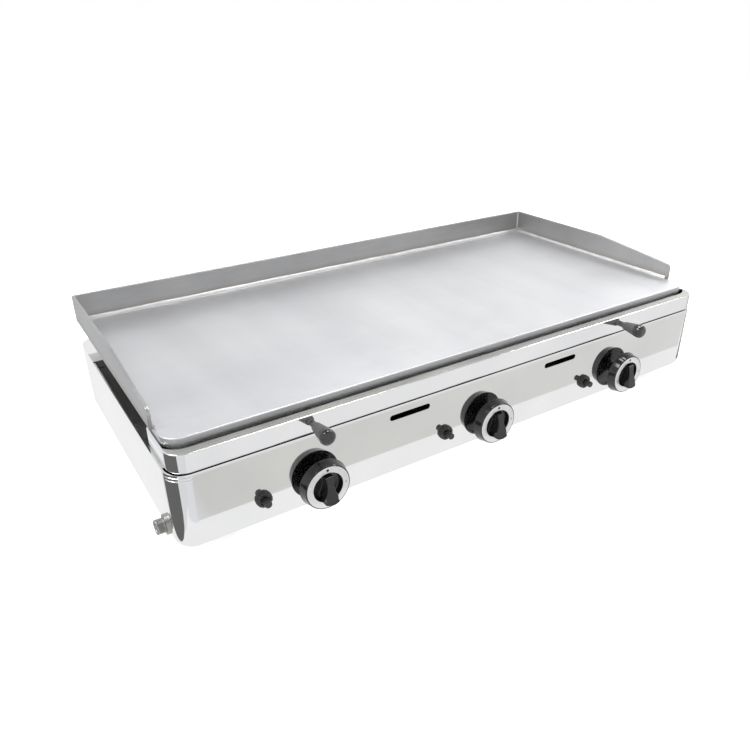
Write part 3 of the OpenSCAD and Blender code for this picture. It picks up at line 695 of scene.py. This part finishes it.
def raised(shape, outline, z, height=0.09, mark=0):
    """A thin printed mark on the ring."""
    cx = sum(u for u, v in outline) / len(outline)
    cy = sum(v for u, v in outline) / len(outline)
    low = [(u * MM, v * MM, z * MM) for u, v in outline]
    high = [(u * MM, v * MM, (z + height) * MM) for u, v in outline]
    shape.rows([[(cx * MM, cy * MM, z * MM)], low, high, [(cx * MM, cy * MM, (z + height) * MM)]], mark)


def igniter(number):
    centre = mid(f"igniter_button_{number}")
    matrix = on_front(centre.x, centre.z)
    button = soften(in_mm([(0, -14, 0), (5, -14, 0.2), (5, 8.6, 0.1), (4.7, 8.8, 0.1), (4.7, 9.4, 0.1),
                           (5, 9.6, 0.1), (5, 16.9, 1.4), (3.2, 17, 0.6), (2.8, 16.7, 0.4), (0, 16.6, 0)]))
    piece(f"push_button_{number}", Shape(matrix).revolve(button, 48), f"button_{number}", "black_plastic",
          replaces=[f"igniter_button_{number}"])


def igniter_nuts():
    """Round nuts with finger notches, chamfered at the front."""
    shape = Shape()
    for number in NUMBERS:
        centre = mid(f"igniter_button_{number}")
        shape.matrix = on_front(centre.x, centre.z)

        def reach(r, z, t):
            notch = max(0.0, math.cos(12 * t) - 0.72) / 0.28
            return r - 0.7 * MM * notch if r > 10.2 * MM and z > 1.6 * MM else r

        nut = soften(in_mm([(7.1, 0.1, 0), (11.6, 0.1, 0.3), (11.6, 1.5, 0.2), (11.1, 1.7, 0.1),
                            (11.1, 4.9, 0.6), (10.1, 5.5, 0.3), (7.6, 5.5, 0.3), (7.1, 5.0, 0)]))
        shape.revolve(nut + nut[:1], 144, reach=reach)
    piece("button_nuts", shape, "casing", "black_plastic", replaces=["igniter_nuts"])


# ---------------------------------------------------------------- gas parts and fixings

def manifold():
    """Pipe along the casing with a half-inch thread where the hose screws on."""
    low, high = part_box("gas_manifold")
    centre = mid("inlet_collar")
    pitch, crest, depth, bore = 1.814 * MM, 10.48 * MM, 1.0 * MM, 8 * MM
    thread_start, thread_end = 1.2 * MM, 11 * MM
    pipe = 10.65 * MM
    length = high.x - low.x
    matrix = Matrix(((0, 0, 1, low.x), (0, 1, 0, centre.y), (-1, 0, 0, centre.z), (0, 0, 0, 1)))

    def reach(r, z, t):
        if r < 9.4 * MM or not thread_start < z < thread_end:
            return r
        phase = (z / pitch - t / (2 * math.pi)) % 1
        fade = min(1, (z - thread_start) / pitch, (thread_end - z) / pitch)
        return crest - depth * (0.5 + 0.5 * math.cos(2 * math.pi * phase)) * fade

    steps = round((thread_end - thread_start) / pitch * 8)
    profile = [(0, 40 * MM), (bore, 40 * MM), (bore, 0.8 * MM), (bore + 0.8 * MM, 0), (crest - 0.9 * MM, 0),
               (crest, 0.9 * MM)]
    profile += [(crest, thread_start + (thread_end - thread_start) * i / steps) for i in range(steps + 1)]
    profile += [(crest - 0.8 * MM, 11.3 * MM), (crest - 0.8 * MM, 11.9 * MM), (pipe - 0.2 * MM, 12 * MM),
                (pipe, 12.4 * MM), (pipe, length - 1 * MM), (pipe - 1 * MM, length), (0, length)]
    piece("gas_pipe", Shape(matrix).revolve(profile, 56, reach=reach), "casing", "pipe_steel",
          replaces=["gas_manifold"], sharp=50)


def screw_head(shape, matrix):
    """Pan head with a cross recess, and its shank."""
    head_r, head_h = 3.8, 2.6
    rows = []
    for r in (3.8, 3.75, 3.5, 3.1, 2.7, 2.3, 1.95, 1.6, 1.3, 1.0, 0.75, 0.5, 0.25):
        ring = []
        for k in range(64):
            t = 2 * math.pi * k / 64
            x, y = r * math.cos(t), r * math.sin(t)
            dome = 0.8 + (head_h - 0.8) * math.sqrt(max(0, 1 - (r / head_r) ** 3.2))
            wing = min(max(abs(x), abs(y)) / 2.1, 1)
            slot = max(0, 1 - (min(abs(x), abs(y)) / 0.55) ** 4) if max(abs(x), abs(y)) < 2.1 else 0
            ring.append((x * MM, y * MM, (dome - 1.3 * slot * (1 - wing ** 3)) * MM))
        rows.append(ring)
    rows.append([(0, 0, (head_h - 1.4) * MM)])
    shape.matrix = matrix
    shape.revolve(in_mm([(0, -6), (1.6, -6), (2, -5.6), (2, 0), (3.7, 0), (3.8, 0.1)]), 64)
    shape.rows([shape_ring(3.8, 0.1), *rows])


def shape_ring(r, z, segments=64):
    turns = [2 * math.pi * k / segments for k in range(segments)]
    return [(r * MM * math.cos(t), r * MM * math.sin(t), z * MM) for t in turns]


def casing_screws():
    shape = Shape()
    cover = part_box("rear_top_cover")
    back = SHELL_HIGH.y
    inset = 38 * MM
    for x, turn in ((SHELL_LOW.x + inset, 0.3), (SHELL_HIGH.x - inset, 0.9)):
        for z in (30, 60, 95):
            place = Matrix.Translation((x, back, SHELL_LOW.z + z * MM))
            screw_head(shape, place @ Matrix.Rotation(-math.pi / 2, 4, "X") @ Matrix.Rotation(turn + z, 4, "Z"))
    middle = (cover[0].x + cover[1].x) / 2
    screw_y = FRONT_Y + 443 * MM
    for dx in (-450, -160, 160, 450):
        place = Matrix.Translation((middle + dx * MM, screw_y, cover[1].z))
        screw_head(shape, place @ Matrix.Rotation(dx * 0.01, 4, "Z"))
    piece("casing_screw_heads", shape, "casing", "fastener_steel", replaces=["casing_screws"], sharp=40)


def feet():
    """Moulded feet: rounded tread edge, a shallow waist and a recess for the screw."""
    for corner in ("front_left", "front_right", "back_left", "back_right"):
        node = f"foot_{corner}"
        centre = mid(node)
        profile = soften(in_mm([(0, 12, 0), (6, 12, 0.5), (6, 0, 0.8), (15.9, 0, 1.6), (16.3, 5, 1),
                                (17.6, 14, 4), (18.9, 20, 1), (19, 23.2, 0.4), (0, 23.2, 0)]))
        shape = Shape(Matrix.Translation((centre.x, centre.y, 0))).revolve(profile, 72)
        piece(f"rubber_{node}", shape, "casing", "foot_rubber", replaces=[node])


def valve_springs():
    """Round wire coils round each valve spindle, with their end turns closed up."""
    turns, steps, wire, coil = 6.5, 24, 0.6 * MM, 6.6 * MM
    section = [(wire * math.cos(t), wire * math.sin(t)) for t in (2 * math.pi * k / 10 for k in range(10))]
    for number in NUMBERS:
        node = f"valve_spring_{number}"
        low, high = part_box(node)
        centre = mid(f"valve_spindle_{number}")
        span = high.y - low.y - 2 * wire
        path = []
        count = round(turns * steps)
        for i in range(count + 1):
            t = 2 * math.pi * i / steps
            share = min(max((i - steps * 0.6) / (count - steps * 1.2), 0), 1)
            out = Vector((math.cos(t), 0, math.sin(t)))
            at = Vector((centre.x, low.y + wire + span * share, centre.z)) + out * coil
            path.append((at, out, Vector((0, 1, 0))))
        obj = piece(f"coil_{number}", Shape().sweep(path, section), "casing", "fastener_steel",
                    replaces=[node], sharp=60)
        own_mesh(obj)


# ---------------------------------------------------------------- studio

FLOOR_SIZE = 14.0


def emitter(name, points, colour_low, colour_high, axis, low, high):
    """A card on the floor that only reflections see."""
    mesh = bpy.data.meshes.new(name)
    mesh.from_pydata(points, [], [list(range(len(points)))])
    finish = Finish(name)
    glow = finish.node("ShaderNodeEmission")
    shade = finish.ramp(finish.along(axis, low, high), (0, colour_low), (1, colour_high))
    finish.link(shade, glow.inputs["Color"])
    output = finish.tree.nodes["Material Output"]
    finish.link(glow.outputs["Emission"], output.inputs["Surface"])
    mesh.materials.append(finish.material)
    card = bpy.data.objects.new(name, mesh)
    bpy.context.scene.collection.objects.link(card)
    for ray in ("camera", "diffuse", "transmission", "volume_scatter", "shadow"):
        setattr(card, f"visible_{ray}", False)


def strip(name, height, across, along, first, last):
    """A level card between two x and two y values that fades from the first colour to the last along X."""
    (start, end), (near, far) = across, along
    corners = [(start, near, height), (end, near, height), (end, far, height), (start, far, height)]
    emitter(name, corners, first, last, "X", start, end)


def reflection_cards():
    """What the mirror-polished sheet sees: white floor close by, grey beyond it, dark off the left corner."""
    left = SHELL_LOW.x
    right = SHELL_HIGH.x
    start, end = left - 0.035, left + 3.0
    near = FRONT_Y - 84 * MM
    far = FRONT_Y - 193 * MM
    z = 2 * MM
    pale = (0.80, 0.80, 0.84)
    grey = (0.66, 0.66, 0.64)
    white = (0.93, 0.93, 0.93)
    strip("pale_card", z, (start, left + 0.03), (near, far), pale, pale)
    strip("fade_card", z, (left + 0.03, left + 0.075), (near, far), pale, grey)
    strip("grey_card", z, (left + 0.075, end), (near, far), grey, (0.92, 0.92, 0.91))
    strip("far_card", z, (start, end), (far, -3.5), (0.86, 0.86, 0.87), (0.90, 0.90, 0.90))
    strip("edge_card", z, (right + 0.06, right + 0.5), (FRONT_Y + 0.16, FRONT_Y - 0.03), (0.2, 0.2, 0.2),
          (0.3, 0.3, 0.3))
    strip("white_card", 1 * MM, (left - 0.05, end), (near - 0.02, 3.0), white, white)
    strip("side_card", 0.5 * MM, (left - 2.0, left - 0.02), (-3.5, 3.0), (0.80, 0.81, 0.82), (0.76, 0.77, 0.79))
    dark = [(-0.037, 0.014), (-0.041, -0.003), (-0.058, -0.03), (-0.078, -0.051), (-0.1265, -0.085),
            (-0.32, -0.2), (-0.32, 0.42), (-0.12, 0.217), (-0.089, 0.168), (-0.061, 0.109), (-0.045, 0.049)]
    emitter("dark_card", [(left + x, FRONT_Y + y, 3 * MM) for x, y in dark],
            (0.145, 0.145, 0.14), (0.135, 0.135, 0.13), "X", left - 0.3, left)


def floor():
    half = FLOOR_SIZE / 2
    mesh = bpy.data.meshes.new("floor")
    corners = [(-half, -half, 0), (half, -half, 0), (half, half, 0), (-half, half, 0)]
    mesh.from_pydata(corners, [], [[0, 1, 2, 3]])
    finish = Finish("floor", specular=0.2)
    paint = finish.noise(3, detail=4)
    finish.colour(finish.ramp(paint, (0.3, 0.93), (0.7, 0.95)))
    finish.gloss(paint, (0.3, 0.7), (0.7, 0.8))
    finish.shader.inputs["Emission Color"].default_value = (1, 1, 1, 1)
    finish.shader.inputs["Emission Strength"].default_value = 0.5
    mesh.materials.append(finish.material)
    obj = bpy.data.objects.new("floor", mesh)
    bpy.context.scene.collection.objects.link(obj)


def sky():
    """Soft white surround, dimmer overhead."""
    world = bpy.data.worlds.new("studio")
    bpy.context.scene.world = world
    world.use_nodes = True
    tree = world.node_tree
    place = tree.nodes.new("ShaderNodeTexCoord")
    split = tree.nodes.new("ShaderNodeSeparateXYZ")
    ramp = tree.nodes.new("ShaderNodeValToRGB")
    stops = ((0.0, (1.0, 1.0, 1.0)), (0.42, (0.93, 0.93, 0.94)), (0.68, (0.62, 0.63, 0.65)),
             (1.0, (0.30, 0.31, 0.33)))
    points = ramp.color_ramp.elements
    while len(points) < len(stops):
        points.new(0.5)
    for point, (at, colour) in zip(points, stops):
        point.position = at
        point.color = (*colour, 1)
    tree.links.new(place.outputs["Generated"], split.inputs["Vector"])
    tree.links.new(split.outputs["Z"], ramp.inputs["Fac"])
    tree.links.new(ramp.outputs["Color"], tree.nodes["Background"].inputs["Color"])


def lamp(name, place, aim, width, depth, power):
    data = bpy.data.lights.new(name, "AREA")
    data.shape = "RECTANGLE"
    data.size = width
    data.size_y = depth
    data.energy = power
    obj = bpy.data.objects.new(name, data)
    obj.location = place
    obj.rotation_mode = "QUATERNION"
    obj.rotation_quaternion = (Vector(aim) - Vector(place)).to_track_quat("-Z", "Y")
    obj.visible_camera = False
    bpy.context.scene.collection.objects.link(obj)


def lamps():
    """Three ceiling boxes in a row over the object."""
    for name, x, y in (("left_box", -1.35, 0.36), ("middle_box", 0.45, 0.38), ("right_box", 2.3, 0.42)):
        lamp(name, (x, y, 2.1), (0, 0, 0.1), 0.95, 0.8, 21)


# ---------------------------------------------------------------- build

add_camera()
dress_cad_nodes()
griddle_plate()
back_guard()
for guard in ("left_splash", "right_splash"):
    side_guard(guard)
weld_beads()
corner_ridges()
tray_band()
apron()
grips()
for control in NUMBERS:
    knob(control)
    igniter(control)
igniter_nuts()
manifold()
casing_screws()
feet()
valve_springs()
floor()
sky()
lamps()
reflection_cards()
bpy.context.scene.view_settings.view_transform = "Standard"
